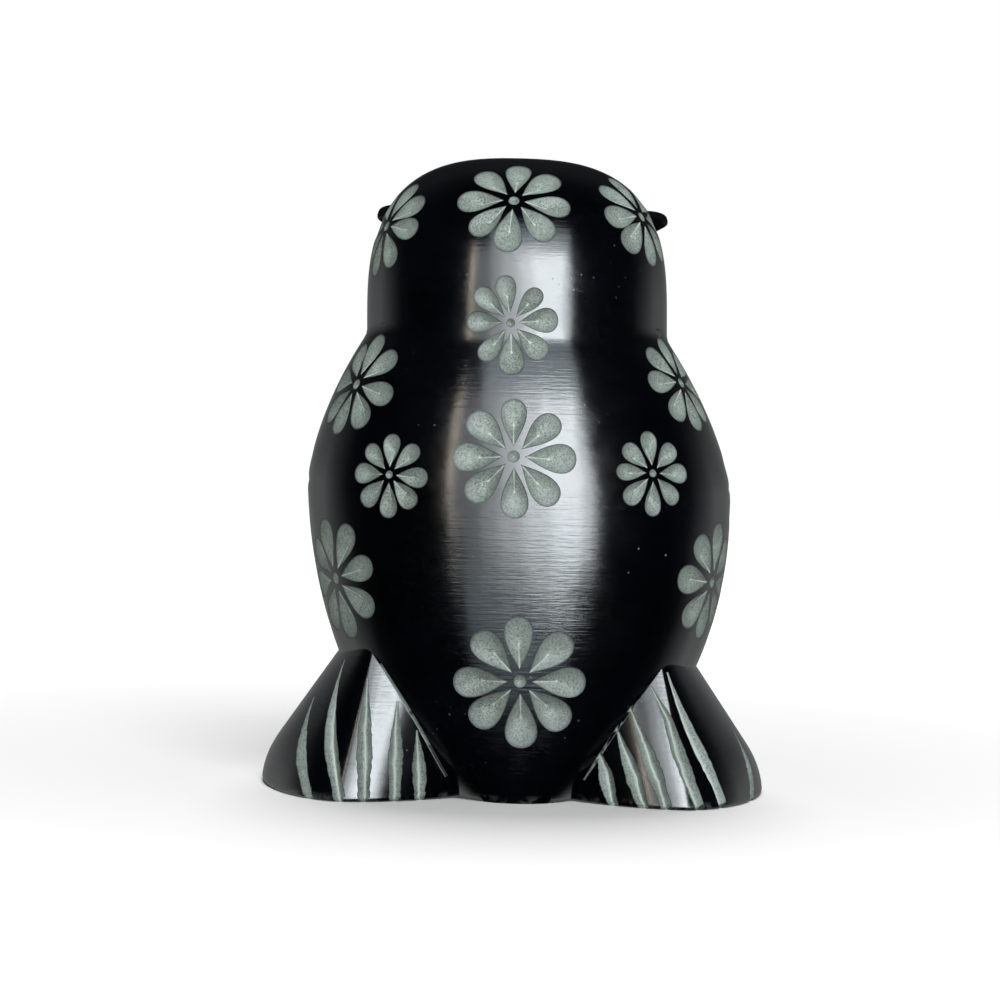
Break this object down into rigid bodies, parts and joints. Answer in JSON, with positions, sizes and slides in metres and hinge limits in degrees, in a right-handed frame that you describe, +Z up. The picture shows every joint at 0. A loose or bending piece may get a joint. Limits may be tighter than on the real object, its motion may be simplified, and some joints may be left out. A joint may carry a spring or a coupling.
{
  "type": "carved owl figurine",
  "caption": "Seated owl figurine carved from polished black stone, with cut flowers and a flared, grooved base it stands on.",
  "frame": {"origin": "middle of the flat underside, on the plane it stands on, midway between the two flared base lobes", "axes": "+Z up, face toward -Y, back toward +Y, base lobes spread along X"},
  "size_m": [0.0596, 0.0398, 0.075],
  "materials": {
    "polished_stone": "black soapstone, waxed and polished to a soft gloss, with pale grey-green unpolished stone in the carved cuts"
  },
  "bodies": {
    "root": {"owl": "polished_stone"}
  },
  "joints": []
}
